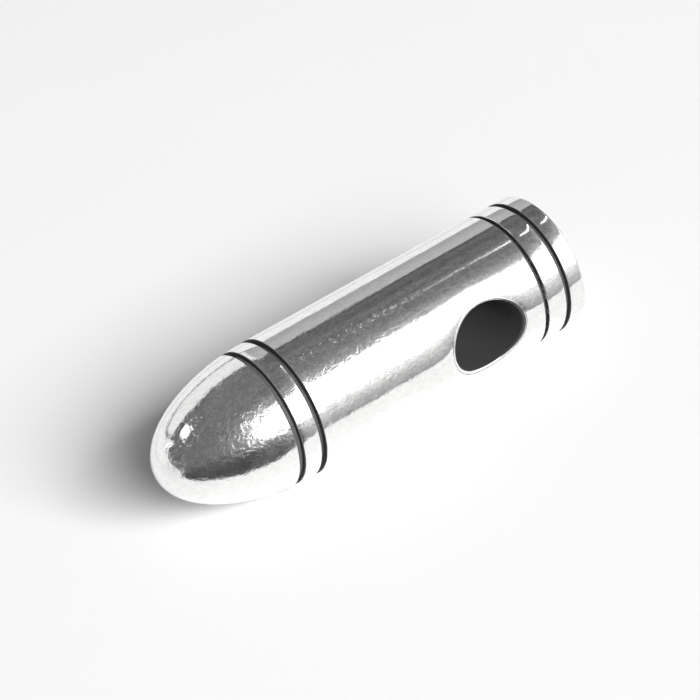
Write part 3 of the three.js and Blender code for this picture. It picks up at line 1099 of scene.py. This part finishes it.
def dim_room(shader, straight, view):
    """Mottled grey, darker low down in front and beside the backdrop."""
    clutter = shader.noise(view, 3.0, detail=5.0, roughness=0.65, stretch=(1.6, 1.6, 0.7))
    fine = shader.noise(view, 22.0, detail=3.0, roughness=0.6)
    beside = shader.side(straight, BACKDROP_SIDE, 0.66, 0.5)
    beside = shader.times(beside, shader.side(view, RIGHT, 0.0, -0.2))
    behind = shader.times(shader.side(view, BEHIND, 0.1, 0.5), shader.side(view, UP, 0.9, 0.75))
    return shader.times(
        shader.ramp(clutter, 0.3, 0.7, 0.13, 0.25),
        shader.ramp(fine, 0.35, 0.65, 0.88, 1.12),
        shader.side(view, UP, 0.15, -0.5, 1.0, 0.62),
        shader.ramp(beside, 0.0, 1.0, 1.0, 0.62),
        shader.ramp(behind, 0.0, 1.0, 1.0, 0.68),
    )


def add_window(shader, light, view):
    """A bright window in front on the base's side, and its glow on the walls and on the table."""
    light = shader.mix(shader.times(sector(shader, view, *HALO), 0.8), light, 0.5)
    streaks = shader.noise(view, 6.0, detail=4.0, roughness=0.6, stretch=(0.5, 0.5, 3.0))
    near_to_far = shader.side(view, UP, -0.42, 0.1, 0.34, 0.95)
    table = shader.times(near_to_far, shader.ramp(streaks, 0.3, 0.7, 0.85, 1.15))
    light = shader.mix(sector(shader, view, *SILL), light, table)
    return shader.mix(sector(shader, view, *WINDOW), light, WINDOW_STRENGTH)


def up_the_board(shader, straight):
    """How high a direction is in line with the board's slanting edges, and whether it is on the right."""
    slant = shader.times(shader.dot(straight, RIGHT), BOARD_TILT)
    rise = shader.math("ADD", shader.dot(straight, UP), slant)
    return rise, shader.side(straight, sideways(161), 0.02, -0.02)


def add_backdrop(shader, light, straight):
    """White paper with a fold, behind and to the left. On the right it ends at the board's top edge."""
    rise, on_right = up_the_board(shader, straight)
    to_left = shader.side(straight, sideways(-72), 0.03, -0.03)
    above = shader.times(on_right, shader.ramp(rise, BOARD_TOP - 0.008, BOARD_TOP + 0.008))
    back = shader.times(
        shader.side(straight, BACKDROP_SIDE, 0.49, 0.46),
        shader.side(straight, UP, 0.79, 0.765),
        shader.math("MAXIMUM", to_left, shader.side(straight, BEHIND, 0.1, 0.3)),
        shader.math("SUBTRACT", 1.0, above),
    )
    fold = shader.dot(straight, (0.0, 0.675, 1.0))
    crease = shader.times(shader.ramp(fold, 0.915, 0.955), shader.ramp(fold, 1.0, 0.96))
    pale = shader.times(shader.ramp(fold, 0.94, 0.98, 0.93, 0.87), shader.ramp(crease, 0.0, 1.0, 1.0, 0.25))
    return shader.mix(back, light, pale)


def add_board(shader, light, straight):
    """A grey board in front of the backdrop on the right, with a dark line along its top edge."""
    rise, on_right = up_the_board(shader, straight)
    end_side = shader.side(straight, sideways(100), -0.03, 0.03)
    here = shader.times(on_right, end_side, shader.side(straight, RIGHT, 0.25, 0.29))
    foot = shader.ramp(rise, BOARD_FOOT - 0.015, BOARD_FOOT + 0.005)
    share = shader.times(foot, shader.ramp(rise, BOARD_TOP + 0.008, BOARD_TOP - 0.008))
    grey_board = shader.ramp(rise, BOARD_FOOT, BOARD_TOP, 0.36, 0.50)
    light = shader.mix(shader.times(share, here), light, grey_board)
    line = shader.ramp(rise, BOARD_TOP - 0.01, BOARD_TOP + 0.005)
    line = shader.times(line, shader.ramp(rise, BOARD_TOP + 0.06, BOARD_TOP + 0.01))
    return shader.mix(shader.times(line, here), light, 0.085)


def make_window_light():
    """The light that the window throws on the paper, which isn't seen in the polish."""
    direction, distance = towards(4, 31), 3.0
    data = bpy.data.lights.new("window_light", "AREA")
    data.shape = "RECTANGLE"
    data.size, data.size_y = 2.4, 1.25
    data.energy = 191.0
    lamp = bpy.data.objects.new("window_light", data)
    lamp.location = direction * distance
    lamp.rotation_mode = "QUATERNION"
    lamp.rotation_quaternion = direction.to_track_quat("Z", "Y")
    lamp.visible_glossy = False
    lamp.visible_camera = False
    scene.collection.objects.link(lamp)


def make_camera():
    """The camera looks down on the capsule from the side, a little from the nose's end."""
    azimuth, elevation, roll = -29.98, 32.84, -12.12
    distance, lens = 228.12 * MM, 144.93
    target = BORE_MIDDLE + Vector((-8.383, 2.085, 0)) * MM
    back = towards(azimuth, elevation)
    level = back.cross(Vector((0, 0, 1))).normalized() * -1
    upright = back.cross(level)
    turn = math.radians(roll)
    right = level * math.cos(turn) + upright * math.sin(turn)
    up = upright * math.cos(turn) - level * math.sin(turn)
    data = bpy.data.cameras.new("camera")
    data.lens = lens
    data.sensor_width = 36
    data.clip_start, data.clip_end = 0.01, 50
    camera = bpy.data.objects.new("camera", data)
    scene.collection.objects.link(camera)
    turned = Matrix((right, up, back)).transposed().to_4x4()
    camera.matrix_world = Matrix.Translation(target + back * distance) @ turned
    scene.camera = camera


make_floor()
make_room()
make_window_light()
make_camera()
scene.view_settings.view_transform = "Standard"
